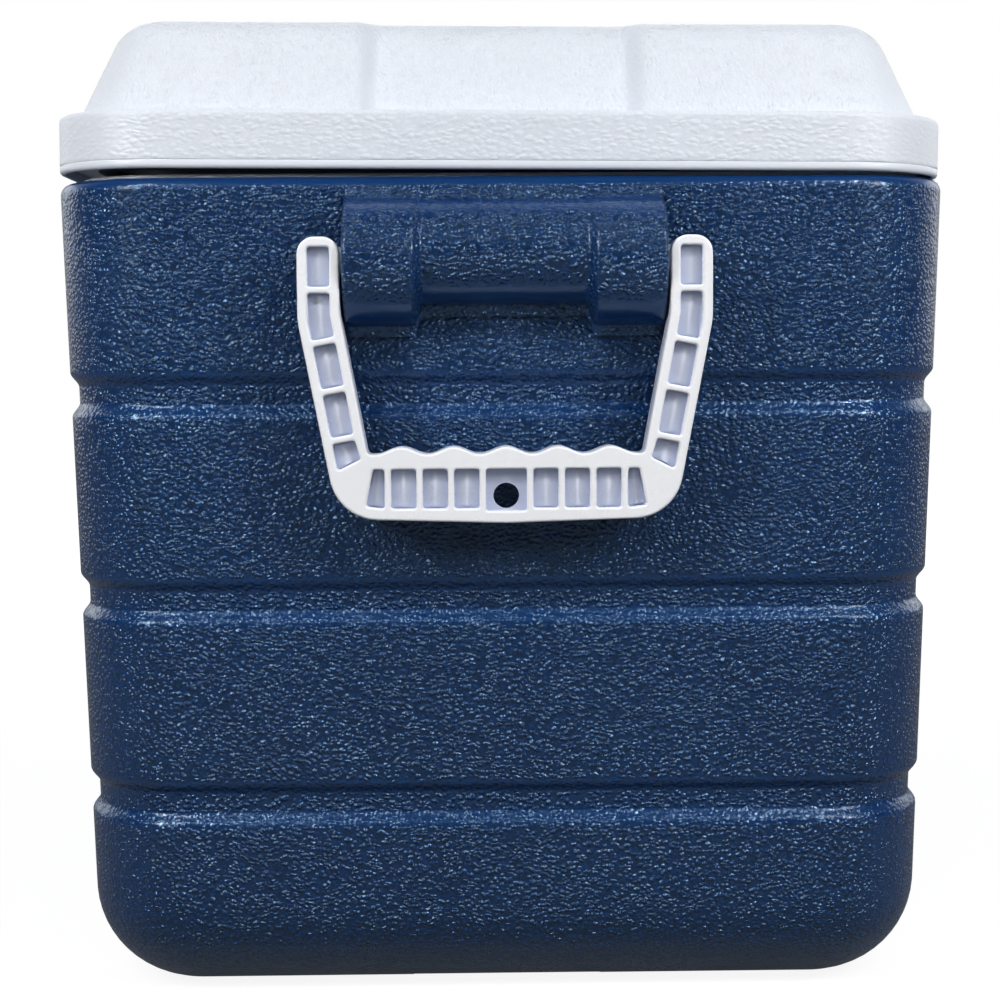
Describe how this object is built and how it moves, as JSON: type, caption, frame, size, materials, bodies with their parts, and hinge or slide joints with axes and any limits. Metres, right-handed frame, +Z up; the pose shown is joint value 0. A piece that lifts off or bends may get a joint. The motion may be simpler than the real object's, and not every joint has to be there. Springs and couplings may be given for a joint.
{
  "type": "wheeled cooler",
  "caption": "Insulated chest on two wheels, with a hinged lid, swing handles at both ends and a drain plug.",
  "frame": {"origin": "on the ground, under the middle of the bounding box at rest", "axes": "+Z up, +Y from the towing end to the wheel end, +X to the right seen from the towing end; the lid opens at -X and hinges at +X"},
  "size_m": [0.4001, 0.651, 0.4171],
  "materials": {
    "blue_shell": "leather-grained polyethylene, satin",
    "white_lid": "leather-grained polyethylene, satin",
    "white_handle": "smooth moulded polypropylene, semi-gloss",
    "white_liner": "smooth moulded, semi-gloss",
    "white_hinge": "smooth moulded, semi-gloss",
    "white_fitting": "smooth moulded, semi-gloss",
    "white_rim": "smooth moulded, semi-gloss",
    "foam": "rigid polyurethane foam, matte",
    "gasket": "soft foam rubber",
    "seal_rubber": "moulded rubber",
    "tyre": "moulded rubber tread",
    "black_plastic": "moulded nylon",
    "steel": "zinc-plated steel"
  },
  "bodies": {
    "chest": {"outer_shell": "blue_shell", "body_foam": "foam", "inner_liner": "white_liner", "drain_spout": "white_fitting", "drain_washer": "seal_rubber", "drain_nut": "white_fitting", "hinge_base_near": "white_hinge", "hinge_base_far": "white_hinge", "hinge_base_screws": "steel", "hinge_pin_near": "steel", "hinge_pin_far": "steel", "axle": "steel", "axle_keeper_left": "black_plastic", "axle_keeper_right": "black_plastic", "axle_keeper_screws": "steel", "axle_washer_left": "steel", "axle_washer_right": "steel", "push_cap_left": "steel", "push_cap_right": "steel"},
    "lid": {"lid_shell": "white_lid", "lid_foam": "foam", "lid_pan": "white_liner", "lid_gasket": "gasket", "hinge_leaf_near": "white_hinge", "hinge_leaf_far": "white_hinge", "hinge_leaf_screws": "steel"},
    "near_handle": {"handle_near": "white_handle"},
    "far_handle": {"handle_far": "white_handle"},
    "left_wheel": {"wheel_rim_left": "white_rim", "wheel_tyre_left": "tyre"},
    "right_wheel": {"wheel_rim_right": "white_rim", "wheel_tyre_right": "tyre"},
    "plug": {"drain_plug": "white_fitting", "drain_plug_seal": "seal_rubber"}
  },
  "joints": [
    {"name": "lid_hinge", "type": "hinge", "parent": "chest", "child": "lid", "pos_m": [0.195, 0, 0.34837], "axis": [0, 1, 0], "range_deg": [-0.5, 104.5]},
    {"name": "near_handle_swing", "type": "hinge", "parent": "chest", "child": "near_handle", "pos_m": [0, -0.31357, 0.3125], "axis": [-1, 0, 0], "range_deg": [-4, 180]},
    {"name": "far_handle_swing", "type": "hinge", "parent": "chest", "child": "far_handle", "pos_m": [0, 0.31357, 0.3125], "axis": [1, 0, 0], "range_deg": [-4, 180]},
    {"name": "left_wheel_spin", "type": "hinge", "parent": "chest", "child": "left_wheel", "pos_m": [-0.16, 0.23059, 0.065], "axis": [-1, 0, 0], "continuous": true},
    {"name": "right_wheel_spin", "type": "hinge", "parent": "chest", "child": "right_wheel", "pos_m": [0.16, 0.23059, 0.065], "axis": [-1, 0, 0], "continuous": true},
    {"name": "drain_plug_pull", "type": "slide", "parent": "chest", "child": "plug", "axis": [1, 0, 0], "range_m": [0, 0.026]}
  ]
}
